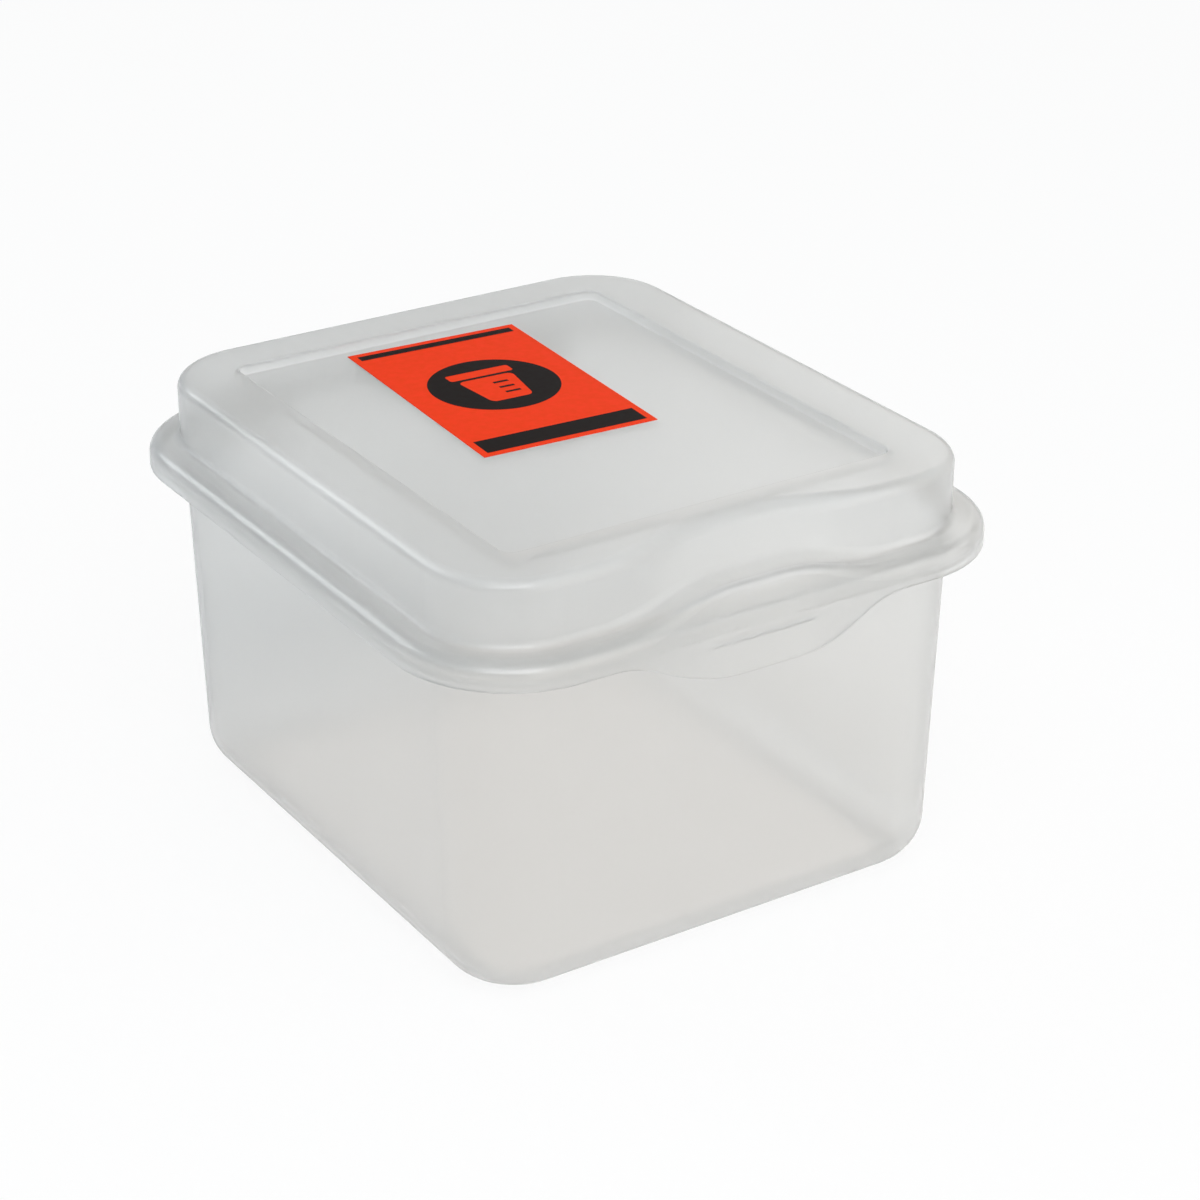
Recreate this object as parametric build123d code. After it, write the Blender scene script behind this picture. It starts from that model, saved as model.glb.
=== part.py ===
"""Hinged specimen container: a tapered tub, a flip lid with a latch tab, and a label on the lid.

Millimetres. The origin is the centre of the tub's underside, +Z is up, the latch tab faces -Y
and the hinge is at +Y. Every outline round the container is an offset of the tub's mouth.
"""
from build123d import *
import os
from math import atan2, cos, pi, radians, sin, sqrt, tan

# Tub
mouth_width = 149.4
mouth_depth = 171.2
mouth_corner_r = 22.5
rim_height = 98.3
wall_draft = 1.5
tub_wall = 1.5
tub_floor = 1.6
bottom_edge_r = 13.0
mouth_edge_r = 0.4
rim_reach = 7.4
rim_thickness = 1.5
lip_thickness = 1.3
lip_drop = 4.5

# Lid
lid_wall = 1.5
seat_gap = 0.2
skirt_gap = 0.4
skirt_depth = 7.2
shoulder_r = 3.8
riser_step = 0.8
riser_height = 17.2
riser_top_r = 3.0
crease_r = 2.0
skirt_edge_r = 0.4

# Sunk panel in the lid's top
border_side = 18.5
border_front = 17.2
border_rear = 15.4
panel_depth = 2.8
panel_corner_r = 3.5
panel_edge_r = 0.6
panel_foot_r = 0.5

# Scooped front and latch tab
scoop_end = 11.2
scoop_margin = 5.0
plateau_half = 7.0
scoop_inset = 8.4
scoop_top_r = 7.0
valley_rise = 5.2
valley_out = 0.6
valley_r = 6.0
crest_rise = 6.2
crest_inset = 2.3
crest_r = 2.2
tab_reach = 3.8
tab_drop = 7.8
tab_root_in = 3.5
tab_flank = 17.5
tab_root_r = 28.0
tab_tip_r = 46.0
front_sections = 6

# Catch bead inside the tab
catch_half = 15.0
catch_height = 1.6
catch_nose_r = 0.72
catch_gap = 0.4

# Hinge
hinge_in = 6.2
knuckle_width = 18.0
knuckle_side_gap = 0.3
pin_r = 2.0
pin_clearance = 0.08
knuckle_wall = 1.9
knuckle_web_angle = 20.0
mouth_share = 0.82
ear_thickness = 2.6
ear_gap = 0.8
bridge_thickness = 1.6
bridge_gap = 1.7
stop_gap = 0.15
lid_travel = 110.0

# Label
label_width = 51.0
label_length = 80.0
label_corner_r = 1.5
label_thickness = 0.15
label_forward = 3.2
label_aside = -1.2
label_askew = -3.0

# Places that follow from the sizes
straight_half = mouth_width / 2 - mouth_corner_r
flange_reach = rim_reach + skirt_gap + lid_wall
shoulder_z = rim_height + seat_gap + lid_wall
lid_top = shoulder_z + riser_height
skirt_z = shoulder_z - skirt_depth
riser_front = mouth_depth / 2 + riser_step
flange_front = mouth_depth / 2 + flange_reach
panel_z = lid_top - panel_depth
panel_front = riser_front - border_front
panel_rear = riser_front - border_rear
panel_width = mouth_width + 2 * (riser_step - border_side)
scoop_half = straight_half - scoop_end
front_half = scoop_half + scoop_margin
tab_root_half = scoop_half - tab_root_in
tab_tip_half = tab_root_half - tab_flank
hinge_half = straight_half - hinge_in
bore_r = pin_r + pin_clearance
knuckle_r = bore_r + knuckle_wall
axis_z = skirt_z - ear_gap - knuckle_r
axis_y = flange_front - lid_wall + knuckle_r

# Aids for joining and filleting
overlap = 1.0
flat_tolerance = 0.01
fillet_room = 0.96
facing_down = -0.5


def outline(reach):
    """The mouth's rounded rectangle, grown by reach."""
    return RectangleRounded(mouth_width + 2 * reach, mouth_depth + 2 * reach, mouth_corner_r + reach)


def block(reach, low, high):
    return Pos(0, 0, low) * extrude(outline(reach), high - low)


def top_edges(solid):
    return solid.faces().sort_by(Axis.Z)[-1].edges()


def level_faces(solid, z):
    return solid.faces().filter_by(Plane.XY).filter_by_position(Axis.Z, z - flat_tolerance, z + flat_tolerance)


def tapered_cup(inset, top, bottom):
    """The tub's outer form, or its hollow when inset by the wall."""
    rise = rim_height - bottom
    cup = Pos(0, 0, rim_height) * extrude(outline(-inset), -rise, taper=wall_draft)
    cup = fillet(cup.faces().sort_by(Axis.Z)[0].edges(), bottom_edge_r - inset)
    if top > rim_height:
        cup += block(-inset, rim_height, top)
    return cup


def hinge_places():
    return [-hinge_half, hinge_half]


def hinge_bracket():
    """Two ears, the bar between them and the bridge behind it, centred on x = 0."""
    ear_r = knuckle_r
    gutter = mouth_depth / 2 + rim_reach - lip_thickness / 2
    foot_y = mouth_depth / 2 - tub_wall / 2 - tan(radians(wall_draft)) * (rim_height - axis_z + ear_r)
    profile = Polyline(
        (foot_y, rim_height - rim_thickness / 2),
        (gutter, rim_height - rim_thickness / 2),
        (gutter, axis_z + ear_r),
        (axis_y, axis_z + ear_r),
        (axis_y, axis_z - ear_r),
        (foot_y, axis_z - 2 * ear_r),
        close=True,
    )
    ear_face = make_face(profile) + Pos(axis_y, axis_z) * Circle(ear_r)
    inside = knuckle_width / 2 + knuckle_side_gap
    ear = extrude(Plane.YZ * ear_face, ear_thickness)
    ears = Pos(inside, 0, 0) * ear + Pos(-inside - ear_thickness, 0, 0) * ear
    bar = Pos(0, axis_y, axis_z) * Rot(0, 90, 0) * Cylinder(pin_r, 2 * inside + ear_thickness)
    bridge_y = axis_y - knuckle_r - bridge_gap
    low = axis_z - ear_r
    high = rim_height - rim_thickness / 2
    bridge = Pos(0, bridge_y - bridge_thickness / 2, (low + high) / 2) * Box(
        2 * inside + ear_thickness, bridge_thickness, high - low
    )
    return ears + bar + bridge


def tub():
    shell = tapered_cup(0, rim_height, 0)
    lip_low = rim_height - lip_drop
    edge_r = shoulder_r - lid_wall
    rim = block(rim_reach, lip_low, rim_height)
    rim = fillet(top_edges(rim), edge_r)
    gutter = block(rim_reach - lip_thickness, lip_low - overlap, rim_height - rim_thickness)
    gutter = fillet(top_edges(gutter), edge_r - lip_thickness)
    body = shell + (rim - gutter)
    for x in hinge_places():
        body += Pos(x, 0, 0) * hinge_bracket()
    body -= tapered_cup(tub_wall, rim_height + overlap, tub_floor)
    mouth = level_faces(body, rim_height)[0].inner_wires()[0]
    return fillet(mouth.edges(), mouth_edge_r)


def bump(x):
    """1 across the middle of the scoop, falling smoothly to 0 at its ends."""
    share = (abs(x) - plateau_half) / (scoop_half - plateau_half)
    share = min(max(share, 0), 1)
    return (1 + cos(pi * share)) / 2


def shifted(points, inset):
    """The open path moved sideways by inset, to its right going forward."""
    lines = []
    for (u0, z0), (u1, z1) in zip(points, points[1:]):
        run = sqrt((u1 - u0) ** 2 + (z1 - z0) ** 2)
        across = ((z1 - z0) / run, -(u1 - u0) / run)
        lines.append((u0 + inset * across[0], z0 + inset * across[1], (u1 - u0) / run, (z1 - z0) / run))
    moved = [(lines[0][0], lines[0][1])]
    for (pu, pz, du, dz), (qu, qz, eu, ez) in zip(lines, lines[1:]):
        along = ((qu - pu) * ez - (qz - pz) * eu) / (du * ez - dz * eu)
        moved.append((pu + along * du, pz + along * dz))
    last = lines[-1]
    run = sqrt((points[-1][0] - points[-2][0]) ** 2 + (points[-1][1] - points[-2][1]) ** 2)
    moved.append((last[0] + run * last[2], last[1] + run * last[3]))
    return moved


def limited_radii(points, radii):
    """Radii cut down where two of them would need more than the run between their corners."""
    runs = [sqrt((b[0] - a[0]) ** 2 + (b[1] - a[1]) ** 2) for a, b in zip(points, points[1:])]
    headings = [atan2(b[1] - a[1], b[0] - a[0]) for a, b in zip(points, points[1:])]
    needs = [r * tan(abs(b - a) / 2) for r, a, b in zip(radii, headings, headings[1:])]
    shares = [1.0] * len(radii)
    for i in range(len(radii) - 1):
        wanted = needs[i] + needs[i + 1]
        share = min(1.0, fillet_room * runs[i + 1] / wanted)
        shares[i] = min(shares[i], share)
        shares[i + 1] = min(shares[i + 1], share)
    return [r * share for r, share in zip(radii, shares)]


def front_section(x, inset, back, low):
    """The lid's section at x from the flat border forward: scoop, valley, crest and tab face."""
    w = bump(x)
    points = [
        (back - overlap, lid_top),
        (riser_front - scoop_inset * w, lid_top),
        (riser_front + valley_out * w, shoulder_z + valley_rise * w),
        (flange_front - crest_inset * w, shoulder_z + crest_rise * w),
        (flange_front + tab_reach * w, skirt_z - tab_drop),
    ]
    radii = [
        riser_top_r + (scoop_top_r - riser_top_r) * w - inset,
        crease_r + (valley_r - crease_r) * w + inset,
        shoulder_r + (crest_r - shoulder_r) * w - inset,
    ]
    path = shifted(points, inset)
    path[0] = (back, path[0][1])
    lean = (path[4][0] - path[3][0]) / (path[4][1] - path[3][1])
    path[4] = (path[3][0] + lean * (low - path[3][1]), low)
    flat = [(-u, z) for u, z in path]
    curve = FilletPolyline(*flat, radius=limited_radii(path, radii))
    curve += Polyline(flat[4], (-back, low), flat[0])
    return Plane.YZ.offset(x) * make_face(curve)


def front_block(inset, back, low):
    places = [front_half * i / front_sections for i in range(-front_sections, front_sections + 1)]
    return loft([front_section(x, inset, back, low) for x in places])


def panel(reach, low, high):
    """The sunk panel's space, grown by reach, with its foot rounded."""
    width = panel_width + 2 * reach
    depth = panel_front + panel_rear + 2 * reach
    face = RectangleRounded(width, depth, panel_corner_r + reach)
    space = Pos(0, (panel_rear - panel_front) / 2, low) * extrude(face, high - low)
    return fillet(space.faces().sort_by(Axis.Z)[0].edges(), panel_foot_r + reach)


def lid_form(inset, low):
    """The lid's outer form, or its hollow when inset by the wall."""
    shoulder = fillet(top_edges(block(flange_reach - inset, low, shoulder_z - inset)), shoulder_r - inset)
    riser = block(riser_step - inset, low, lid_top - inset)
    riser = fillet(top_edges(riser), riser_top_r - inset)
    body = shoulder + riser
    ledge = level_faces(body, shoulder_z - inset)[0]
    body = fillet(ledge.inner_wires()[0].edges(), crease_r + inset)
    scoop_start = riser_front - scoop_inset - scoop_top_r
    back = (panel_front + lid_wall + scoop_start) / 2
    reach = flange_front + tab_reach + overlap
    gap = Pos(0, -(back + reach) / 2, (low + lid_top) / 2) * Box(
        2 * front_half, reach - back, lid_top - low + 2 * overlap
    )
    return body - gap, back


def tab_outline():
    """What stays of the front block, seen from the front: the skirt's edge with the tab below it."""
    side = front_half + overlap
    tip_z = skirt_z - tab_drop
    corners = [
        (-side, skirt_z),
        (-tab_root_half, skirt_z),
        (-tab_tip_half, tip_z),
        (tab_tip_half, tip_z),
        (tab_root_half, skirt_z),
        (side, skirt_z),
    ]
    radii = [tab_root_r, tab_tip_r, tab_tip_r, tab_root_r]
    edge = FilletPolyline(*corners, radius=limited_radii(corners, radii))
    edge += Polyline((side, skirt_z), (side, lid_top + overlap), (-side, lid_top + overlap), (-side, skirt_z))
    reach = flange_front + tab_reach + overlap
    return extrude(Plane.XZ * make_face(edge), reach)


def catch():
    """The bead that passes under the tub's lip, before it is trimmed to the tab's outer face."""
    tip = mouth_depth / 2 + rim_reach + catch_gap
    reach = flange_front + tab_reach + overlap - tip
    top = rim_height - lip_drop - catch_gap
    bead = Rectangle(reach, catch_height)
    bead = fillet(bead.vertices().group_by(Axis.X)[-1], catch_nose_r)
    bead = Pos(-tip - reach / 2, top - catch_height / 2) * bead
    return Pos(-catch_half, 0, 0) * extrude(Plane.YZ * bead, 2 * catch_half)


def knuckle():
    """A snap hook for the tub's bar, centred on x = 0: its mouth faces down, its rear lip is the stop."""
    root_y = flange_front - lid_wall
    centre = (axis_y, axis_z)
    web = radians(knuckle_web_angle)
    body = make_face(
        Polyline(
            (root_y, axis_z),
            (root_y, shoulder_z - shoulder_r),
            (flange_front, shoulder_z - shoulder_r),
            (axis_y + knuckle_r * cos(web), axis_z + knuckle_r * sin(web)),
            centre,
            close=True,
        )
    )
    body += Pos(*centre) * Circle(knuckle_r)
    stop_reach = knuckle_r + bridge_gap - stop_gap
    stop_angle = 180 + lid_travel
    heel = Pos(*centre) * Rot(0, 0, stop_angle) * Pos(stop_reach / 2, 0) * Rectangle(stop_reach, knuckle_wall)
    body += heel
    mouth = 2 * bore_r * mouth_share
    body -= Pos(*centre) * Circle(bore_r)
    body -= Pos(axis_y, axis_z - knuckle_r) * Rectangle(mouth, 2 * knuckle_r)
    return Pos(-knuckle_width / 2, 0, 0) * extrude(Plane.YZ * body, knuckle_width)


def rounded_below(solid):
    """The solid with the outer edge of its skirt and tab rounded: the edge round its lower faces."""
    edges = []
    for face in solid.faces():
        if face.normal_at(face.center()).Z < facing_down:
            edges += face.outer_wire().edges()
    rim = [edge for edge in edges if sum(edge.is_same(other) for other in edges) == 1]
    return fillet(rim, skirt_edge_r)


def lid():
    low = skirt_z - tab_drop - overlap
    outer, back = lid_form(0, skirt_z)
    outer += front_block(0, back, low) & tab_outline()
    outer = rounded_below(outer)
    hollow, back = lid_form(lid_wall, low)
    hollow += front_block(lid_wall, back, low)
    hollow -= panel(lid_wall, panel_z - lid_wall, lid_top + overlap)
    outer -= panel(0, panel_z, lid_top + overlap)
    opening = max(level_faces(outer, lid_top), key=lambda face: face.area).inner_wires()[0]
    outer = fillet(opening.edges(), panel_edge_r)
    body = outer - hollow + (catch() & outer)
    for x in hinge_places():
        body += Pos(x, 0, 0) * knuckle()
    return body


def label():
    face = fillet(Rectangle(label_width, label_length).vertices(), label_corner_r)
    back_edge = panel_rear - label_forward
    centre_y = back_edge - label_length / 2 - label_width / 2 * abs(sin(radians(label_askew)))
    return Pos(label_aside, centre_y, panel_z) * Rot(0, 0, label_askew) * extrude(face, label_thickness)


os.makedirs("parts", exist_ok=True)
export_step(tub(), "parts/tub.step")
export_step(lid(), "parts/lid.step")
export_step(label(), "parts/lid_label.step")
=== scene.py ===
"""Looks of the hinged specimen container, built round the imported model. Metres, Z up, tab facing -Y."""
import math

import bpy
from mathutils import Matrix, Vector


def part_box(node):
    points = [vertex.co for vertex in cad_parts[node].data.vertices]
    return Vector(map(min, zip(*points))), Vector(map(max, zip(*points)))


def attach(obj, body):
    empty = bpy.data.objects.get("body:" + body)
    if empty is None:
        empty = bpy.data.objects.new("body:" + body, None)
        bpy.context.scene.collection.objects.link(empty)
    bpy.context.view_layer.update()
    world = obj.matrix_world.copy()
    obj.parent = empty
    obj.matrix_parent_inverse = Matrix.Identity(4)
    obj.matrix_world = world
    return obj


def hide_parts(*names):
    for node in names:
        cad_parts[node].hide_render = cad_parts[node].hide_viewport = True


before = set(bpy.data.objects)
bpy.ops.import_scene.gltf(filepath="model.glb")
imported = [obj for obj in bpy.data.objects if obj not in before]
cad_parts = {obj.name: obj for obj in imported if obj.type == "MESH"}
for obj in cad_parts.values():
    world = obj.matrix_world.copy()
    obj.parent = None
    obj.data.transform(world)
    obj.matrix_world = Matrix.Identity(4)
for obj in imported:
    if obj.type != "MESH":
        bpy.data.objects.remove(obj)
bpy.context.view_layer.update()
MM = 0.001

# Camera, as fitted to the photograph
AZIMUTH = -32.98
ELEVATION = 25.97
ROLL = 0.19
AIM = Vector((0, 0, 0.04062))
DISTANCE = 0.81635
SHIFT_RIGHT = 0.01188
SHIFT_UP = 0.01912
LENS = 90.26
SENSOR_WIDTH = 36
NEAREST = 0.01
FARTHEST = 50

# Floor: the share of white that the camera sees in it, and the share of warm white that the plastic
# shows, which falls from the first to the second between two distances towards the back, a painted shadow of
# the box
FLOOR_HALF = 3.0
FLOOR_COLOUR = (0.86, 0.86, 0.86, 1)
WHITE = (1, 1, 1, 1)
WHITE_SEEN = 0.9
WARM_WHITE = (1.0, 0.975, 0.945, 1)
WHITE_THROUGH = 0.45
# Painted shadow: behind the box the warm white seen through the plastic drops to this share, in place of the
# box's shadow
WHITE_IN_PAINTED_SHADOW = 0.1
PAINTED_SHADOW_FROM = 0.06
PAINTED_SHADOW_TO = 0.15

# World, shaded from its left end to its right end
WORLD_LEFT = -1
WORLD_STRENGTH = 0.75
COOL_SIDE = (0.05, 0.17, 0.27, 1)
WARM_SIDE = (1.0, 0.955, 0.89, 1)

# Lamps: azimuth and elevation in degrees, distance and size in metres, watts, colour
KEY_LAMP = (-33, 47, 1.5, 1.2, 12.5, (1.0, 1.0, 1.0))
FRONT_LAMP = (15, 26, 1.6, 2.1, 15, (1.0, 0.985, 0.96))
REAR_LAMP = (130, 35, 1.6, 0.8, 1.3, (1.0, 0.98, 0.95))
LEFT_LAMP = (-150, 35, 1.6, 0.8, 4, (0.93, 0.97, 1.0))

# Light paths
BOUNCES = 24
VOLUME_BOUNCES = 8

# Noise: the span that its values mostly keep to, and its usual detail
NOISE_LOW = 0.3
NOISE_HIGH = 0.7
NOISE_DETAIL = 2.0

# Frosted plastic: a soft, low-index sheen over a cloudy body, thicker parts milkier
PLASTIC_COLOUR = (0.99, 0.99, 0.985, 1)
PLASTIC_IOR = 1.15
PLASTIC_COAT = 0.7
PLASTIC_COAT_ROUGHNESS = 0.18
SMOOTHEST = 0.285
ROUGHEST = 0.32
TUB_CLOUD = 70
LID_CLOUD = 140
CLOUD_COLOUR = (1.0, 1.0, 1.0, 1)
CLOUD_FORWARD = 0.3
WAVE_SCALE = 45
WAVE_DETAIL = 1.0
WAVE_DEPTH = 0.03 * MM
GRAIN_SCALE = 1800
GRAIN_DEPTH = 0.001 * MM

# Label
LABEL_WIDTH = 51 * MM
LABEL_LENGTH = 80 * MM
LABEL_ASKEW = -3.0
INK_THICKNESS = 0.02 * MM
FILM_SHEEN = 0.04
FILM_SMOOTHEST = 0.36
FILM_ROUGHEST = 0.46
INK_ORANGE = (0.87, 0.036, 0.0015, 1)
INK_ORANGE_WORN = (0.81, 0.042, 0.003, 1)
INK_DARK = (0.003, 0.0015, 0.0015, 1)
INK_DARK_WORN = (0.009, 0.005, 0.005, 1)
MOTTLE_SCALE = 500
MOTTLE_DETAIL = 4.0
FILM_GRAIN_SCALE = 3000
FILM_GRAIN_DEPTH = 0.003 * MM
BAND_INSET = 2.0 * MM
NEAR_BAND = 8.0 * MM
FAR_BAND = 3.0 * MM
DISC_RADIUS = 18.0 * MM
DISC_FROM_MIDDLE = 2.5 * MM
CUP_WIDTH = 16.5 * MM
CUP_HEIGHT = 16.5 * MM
CUP_CORNER = 2.0 * MM
CUP_TAPER = 0.26
CAP_WIDTH = 19.0 * MM
CAP_HEIGHT = 4.2 * MM
CAP_CORNER = 0.9 * MM
CAP_GAP = 1.2 * MM
MARKS = (-1, 0, 1)
MARK_WIDTH = 4.4 * MM
MARK_HEIGHT = 1.1 * MM
MARK_ASIDE = 2.4 * MM
MARK_PITCH = 3.6 * MM
CORNER_STEPS = 8
CIRCLE_STEPS = 96


def direction(azimuth, elevation):
    """Unit vector from the object towards a viewer or lamp; azimuth 0 is in front of the tab."""
    a, e = math.radians(azimuth), math.radians(elevation)
    return Vector((math.sin(a) * math.cos(e), -math.cos(a) * math.cos(e), math.sin(e)))


def make_camera():
    back = direction(AZIMUTH, ELEVATION)
    turn, roll = math.radians(AZIMUTH), math.radians(ROLL)
    level = Vector((math.cos(turn), math.sin(turn), 0))
    upright = back.cross(level)
    right = level * math.cos(roll) + upright * math.sin(roll)
    up = upright * math.cos(roll) - level * math.sin(roll)
    data = bpy.data.cameras.new("camera")
    data.sensor_width = SENSOR_WIDTH
    data.lens = LENS
    data.clip_start = NEAREST
    data.clip_end = FARTHEST
    camera = bpy.data.objects.new("camera", data)
    camera.matrix_world = Matrix((right, up, back)).transposed().to_4x4()
    camera.location = AIM + back * DISTANCE + right * SHIFT_RIGHT + up * SHIFT_UP
    bpy.context.scene.collection.objects.link(camera)
    bpy.context.scene.camera = camera


def new_material(name):
    material = bpy.data.materials.new(name)
    material.use_nodes = True
    tree = material.node_tree
    tree.nodes.clear()
    return material, tree.nodes, tree.links


def math_node(nodes, links, operation, *values):
    """A Math node's output; each value is a number or another node's output."""
    node = nodes.new("ShaderNodeMath")
    node.operation = operation
    for slot, value in zip(node.inputs, values):
        if isinstance(value, (int, float)):
            slot.default_value = value
        else:
            links.new(value, slot)
    return node.outputs[0]


def make_floor():
    """A matt floor, whitened for the camera; through the plastic it is warm, and duller behind the box, where
    the box's shadow is painted.
    """
    h = FLOOR_HALF
    mesh = bpy.data.meshes.new("floor")
    mesh.from_pydata([(-h, -h, 0), (h, -h, 0), (h, h, 0), (-h, h, 0)], [], [(0, 1, 2, 3)])
    floor = bpy.data.objects.new("floor", mesh)
    bpy.context.scene.collection.objects.link(floor)
    material, nodes, links = new_material("floor")
    matt = nodes.new("ShaderNodeBsdfDiffuse")
    matt.inputs["Color"].default_value = FLOOR_COLOUR
    path = nodes.new("ShaderNodeLightPath")
    shiny, passing = path.outputs["Is Glossy Ray"], path.outputs["Is Transmission Ray"]
    bent = math_node(nodes, links, "MAXIMUM", shiny, passing)
    place = nodes.new("ShaderNodeTexCoord")
    split = nodes.new("ShaderNodeSeparateXYZ")
    links.new(place.outputs["Object"], split.inputs[0])
    # Painted shadow: the warm white seen through the plastic is dimmed towards the back, standing in for the
    # box's shadow on the floor
    white = ranged(nodes, links, split.outputs["Y"], WHITE_THROUGH, WHITE_IN_PAINTED_SHADOW, PAINTED_SHADOW_FROM, PAINTED_SHADOW_TO)
    seen = math_node(nodes, links, "MULTIPLY", path.outputs["Is Camera Ray"], WHITE_SEEN)
    through = math_node(nodes, links, "MULTIPLY", bent, white)
    surface = matt.outputs[0]
    for colour, share in ((WHITE, seen), (WARM_WHITE, through)):
        glow = nodes.new("ShaderNodeEmission")
        glow.inputs["Color"].default_value = colour
        mix = nodes.new("ShaderNodeMixShader")
        links.new(share, mix.inputs[0])
        links.new(surface, mix.inputs[1])
        links.new(glow.outputs[0], mix.inputs[2])
        surface = mix.outputs[0]
    out = nodes.new("ShaderNodeOutputMaterial")
    links.new(surface, out.inputs["Surface"])
    mesh.materials.append(material)


def make_lamp(name, azimuth, elevation, distance, size, power, colour):
    back = direction(azimuth, elevation)
    data = bpy.data.lights.new(name, "AREA")
    data.shape = "SQUARE"
    data.size = size
    data.energy = power
    data.color = colour
    lamp = bpy.data.objects.new(name, data)
    lamp.location = back * distance
    lamp.rotation_mode = "QUATERNION"
    lamp.rotation_quaternion = back.to_track_quat("Z", "Y")
    bpy.context.scene.collection.objects.link(lamp)


def make_world():
    """A pale studio, cool towards the box's left side and warm towards its right; white to the camera."""
    world = bpy.data.worlds.new("studio")
    bpy.context.scene.world = world
    world.use_nodes = True
    nodes, links = world.node_tree.nodes, world.node_tree.links
    nodes.clear()
    place = nodes.new("ShaderNodeTexCoord")
    split = nodes.new("ShaderNodeSeparateXYZ")
    links.new(place.outputs["Generated"], split.inputs[0])
    side = nodes.new("ShaderNodeMapRange")
    links.new(split.outputs["X"], side.inputs["Value"])
    side.inputs["From Min"].default_value = WORLD_LEFT
    tint = nodes.new("ShaderNodeMix")
    tint.data_type = "RGBA"
    links.new(side.outputs[0], tint.inputs["Factor"])
    tint.inputs[6].default_value = COOL_SIDE
    tint.inputs[7].default_value = WARM_SIDE
    light = nodes.new("ShaderNodeBackground")
    links.new(tint.outputs[2], light.inputs["Color"])
    light.inputs["Strength"].default_value = WORLD_STRENGTH
    seen = nodes.new("ShaderNodeBackground")
    seen.inputs["Color"].default_value = WHITE
    seen.inputs["Strength"].default_value = 1.0
    path = nodes.new("ShaderNodeLightPath")
    mix = nodes.new("ShaderNodeMixShader")
    out = nodes.new("ShaderNodeOutputWorld")
    links.new(path.outputs["Is Camera Ray"], mix.inputs[0])
    links.new(light.outputs[0], mix.inputs[1])
    links.new(seen.outputs[0], mix.inputs[2])
    links.new(mix.outputs[0], out.inputs["Surface"])


def noise(nodes, links, scale, detail=NOISE_DETAIL):
    """A noise node's output, over the object's own coordinates in metres."""
    place = nodes.new("ShaderNodeTexCoord")
    node = nodes.new("ShaderNodeTexNoise")
    node.inputs["Scale"].default_value = scale
    node.inputs["Detail"].default_value = detail
    links.new(place.outputs["Object"], node.inputs["Vector"])
    return node.outputs["Fac"]


def bump(nodes, links, height, depth, under=None):
    node = nodes.new("ShaderNodeBump")
    node.inputs["Strength"].default_value = 1.0
    node.inputs["Distance"].default_value = depth
    links.new(height, node.inputs["Height"])
    if under:
        links.new(under, node.inputs["Normal"])
    return node.outputs[0]


def ranged(nodes, links, value, low, high, start=NOISE_LOW, end=NOISE_HIGH):
    """Value from start to end turned into low to high; by default the span that a noise covers."""
    node = nodes.new("ShaderNodeMapRange")
    links.new(value, node.inputs["Value"])
    node.inputs["From Min"].default_value = start
    node.inputs["From Max"].default_value = end
    node.inputs["To Min"].default_value = low
    node.inputs["To Max"].default_value = high
    return node.outputs[0]


def frosted_plastic(name, density):
    material, nodes, links = new_material(name)
    shader = nodes.new("ShaderNodeBsdfPrincipled")
    out = nodes.new("ShaderNodeOutputMaterial")
    links.new(shader.outputs[0], out.inputs["Surface"])
    shader.inputs["Base Color"].default_value = PLASTIC_COLOUR
    shader.inputs["IOR"].default_value = PLASTIC_IOR
    shader.inputs["Transmission Weight"].default_value = 1.0
    shader.inputs["Coat Weight"].default_value = PLASTIC_COAT
    shader.inputs["Coat Roughness"].default_value = PLASTIC_COAT_ROUGHNESS
    waves = noise(nodes, links, WAVE_SCALE, WAVE_DETAIL)
    links.new(ranged(nodes, links, waves, SMOOTHEST, ROUGHEST), shader.inputs["Roughness"])
    wavy = bump(nodes, links, waves, WAVE_DEPTH)
    links.new(bump(nodes, links, noise(nodes, links, GRAIN_SCALE), GRAIN_DEPTH, wavy), shader.inputs["Normal"])
    cloud = nodes.new("ShaderNodeVolumeScatter")
    cloud.inputs["Color"].default_value = CLOUD_COLOUR
    cloud.inputs["Density"].default_value = density
    cloud.inputs["Anisotropy"].default_value = CLOUD_FORWARD
    links.new(cloud.outputs[0], out.inputs["Volume"])
    return material


def printed_film(name, colour, worn):
    """Satin film, its ink a little mottled."""
    material, nodes, links = new_material(name)
    shader = nodes.new("ShaderNodeBsdfPrincipled")
    out = nodes.new("ShaderNodeOutputMaterial")
    links.new(shader.outputs[0], out.inputs["Surface"])
    mottle = noise(nodes, links, MOTTLE_SCALE, MOTTLE_DETAIL)
    ink = nodes.new("ShaderNodeMix")
    ink.data_type = "RGBA"
    links.new(ranged(nodes, links, mottle, 0.0, 1.0), ink.inputs["Factor"])
    ink.inputs[6].default_value = colour
    ink.inputs[7].default_value = worn
    links.new(ink.outputs[2], shader.inputs["Base Color"])
    links.new(ranged(nodes, links, mottle, FILM_SMOOTHEST, FILM_ROUGHEST), shader.inputs["Roughness"])
    shader.inputs["Specular IOR Level"].default_value = FILM_SHEEN
    grain = noise(nodes, links, FILM_GRAIN_SCALE)
    links.new(bump(nodes, links, grain, FILM_GRAIN_DEPTH), shader.inputs["Normal"])
    return material


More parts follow.
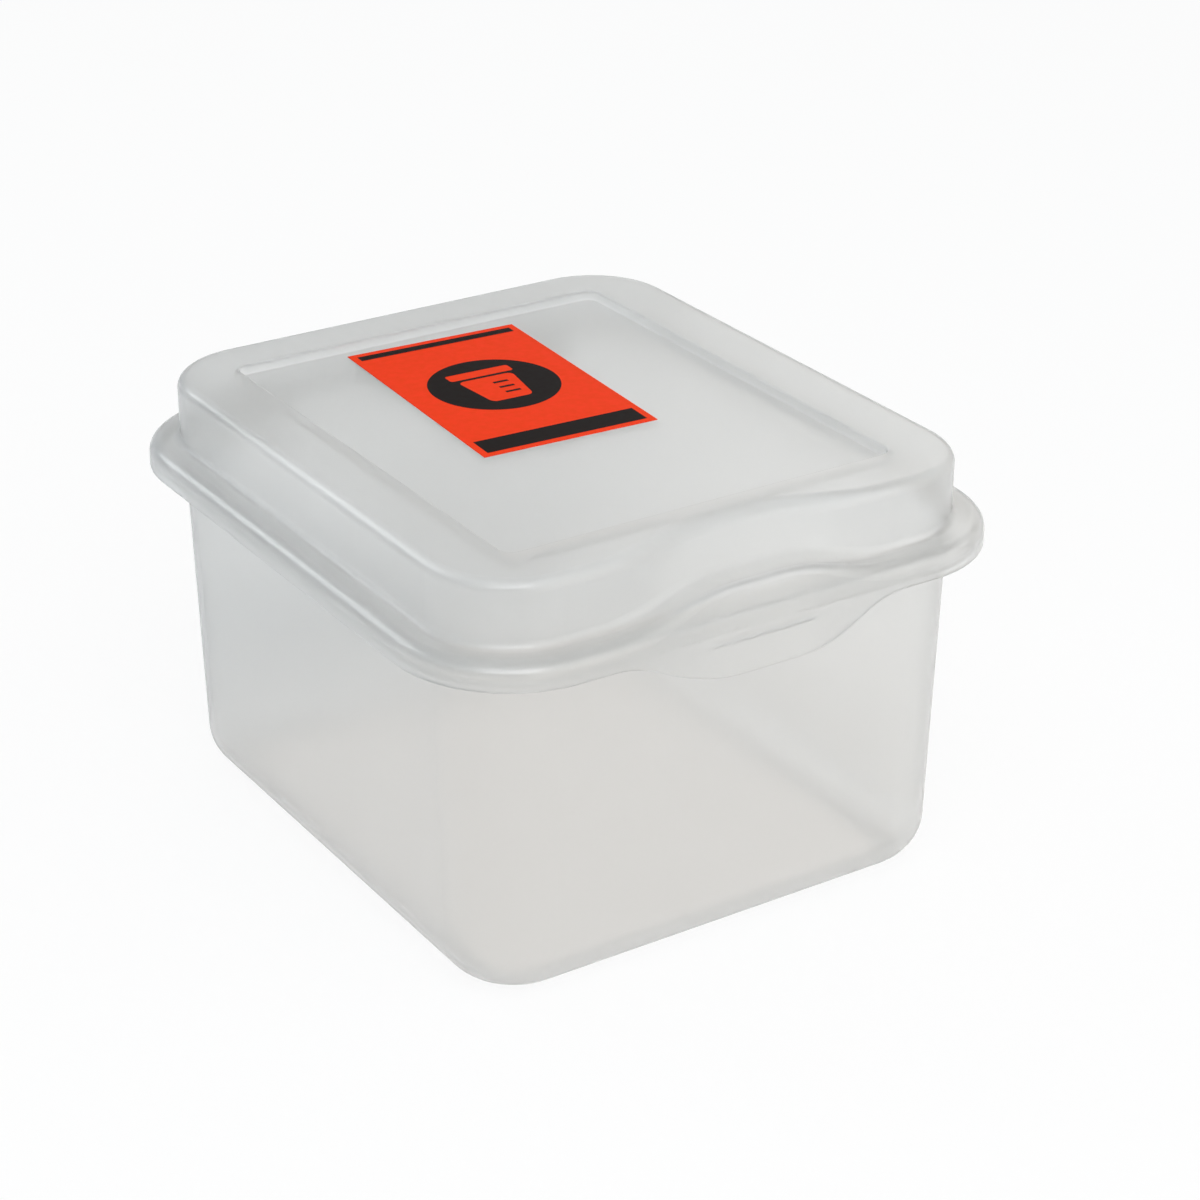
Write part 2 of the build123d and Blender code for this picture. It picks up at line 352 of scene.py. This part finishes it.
def rounded_rectangle(width, height, radius, rise=0.0, aside=0.0, taper=0.0, steps=CORNER_STEPS):
    """Points round a rectangle with rounded corners, its foot narrower by the share taper."""
    points = []
    for quarter, (sx, sy) in enumerate(((1, 1), (-1, 1), (-1, -1), (1, -1))):
        for step in range(steps + 1):
            turn = math.radians(90 * (quarter + step / steps))
            x = sx * (width / 2 - radius) + radius * math.cos(turn)
            y = sy * (height / 2 - radius) + radius * math.sin(turn)
            narrowing = 1 - taper * (0.5 - y / height)
            points.append((aside + x * narrowing, rise + y))
    return points


def circle(radius, rise, steps=CIRCLE_STEPS):
    turns = [2 * math.pi * step / steps for step in range(steps)]
    return [(radius * math.cos(turn), rise + radius * math.sin(turn)) for turn in turns]


def flat_piece(name, outlines, thickness, low, material):
    """A flat piece of the label: outlines inside others are holes or islands by turns."""
    curve = bpy.data.curves.new(name, "CURVE")
    curve.dimensions = "2D"
    curve.fill_mode = "BOTH"
    curve.extrude = thickness / 2
    for points in outlines:
        spline = curve.splines.new("POLY")
        spline.points.add(len(points) - 1)
        for point, (x, y) in zip(spline.points, points):
            point.co = (x, y, 0, 1)
        spline.use_cyclic_u = True
    pattern = bpy.data.objects.new(name + "_pattern", curve)
    mesh = bpy.data.meshes.new_from_object(pattern)
    bpy.data.objects.remove(pattern)
    corner_low, corner_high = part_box("lid_label")
    middle = (corner_low + corner_high) / 2
    middle.z = corner_low.z + low + thickness / 2
    mesh.transform(Matrix.Translation(middle) @ Matrix.Rotation(math.radians(LABEL_ASKEW), 4, "Z"))
    mesh.materials.clear()
    mesh.materials.append(material)
    piece = bpy.data.objects.new(name, mesh)
    bpy.context.scene.collection.objects.link(piece)
    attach(piece, "lid")
    return piece


def make_label():
    """Orange film with two plain dark bands and a lidded cup on a disc, with no lettering."""
    corner_low, corner_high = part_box("lid_label")
    thickness = corner_high.z - corner_low.z
    film = flat_piece(
        "label_film",
        [rounded_rectangle(LABEL_WIDTH, LABEL_LENGTH, 0, steps=1)],
        thickness,
        0,
        printed_film("label_orange", INK_ORANGE, INK_ORANGE_WORN),
    )
    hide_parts("lid_label")
    band_width = LABEL_WIDTH - 2 * BAND_INSET
    near_rise = BAND_INSET + (NEAR_BAND - LABEL_LENGTH) / 2
    far_rise = (LABEL_LENGTH - FAR_BAND) / 2 - BAND_INSET
    cup_rise = DISC_FROM_MIDDLE - (CAP_GAP + CAP_HEIGHT) / 2
    cap_rise = cup_rise + (CUP_HEIGHT + CAP_HEIGHT) / 2 + CAP_GAP
    outlines = [
        rounded_rectangle(band_width, NEAR_BAND, 0, near_rise, steps=1),
        rounded_rectangle(band_width, FAR_BAND, 0, far_rise, steps=1),
        circle(DISC_RADIUS, DISC_FROM_MIDDLE),
        rounded_rectangle(CUP_WIDTH, CUP_HEIGHT, CUP_CORNER, cup_rise, taper=CUP_TAPER),
        rounded_rectangle(CAP_WIDTH, CAP_HEIGHT, CAP_CORNER, cap_rise),
    ]
    for step in MARKS:
        mark_rise = cup_rise + step * MARK_PITCH
        outlines.append(rounded_rectangle(MARK_WIDTH, MARK_HEIGHT, 0, mark_rise, MARK_ASIDE, steps=1))
    dark = printed_film("label_dark", INK_DARK, INK_DARK_WORN)
    flat_piece("label_print", outlines, INK_THICKNESS, thickness, dark)


def dress(name, material):
    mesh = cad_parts[name].data
    mesh.materials.clear()
    mesh.materials.append(material)


make_camera()
make_world()
make_floor()
make_lamp("key", *KEY_LAMP)
make_lamp("front", *FRONT_LAMP)
make_lamp("rear", *REAR_LAMP)
make_lamp("left", *LEFT_LAMP)

dress("tub", frosted_plastic("tub_plastic", TUB_CLOUD))
dress("lid", frosted_plastic("lid_plastic", LID_CLOUD))
make_label()

cycles = bpy.context.scene.cycles
cycles.max_bounces = BOUNCES
cycles.diffuse_bounces = BOUNCES
cycles.glossy_bounces = BOUNCES
cycles.transmission_bounces = BOUNCES
cycles.volume_bounces = VOLUME_BOUNCES
bpy.context.scene.view_settings.view_transform = "Standard"
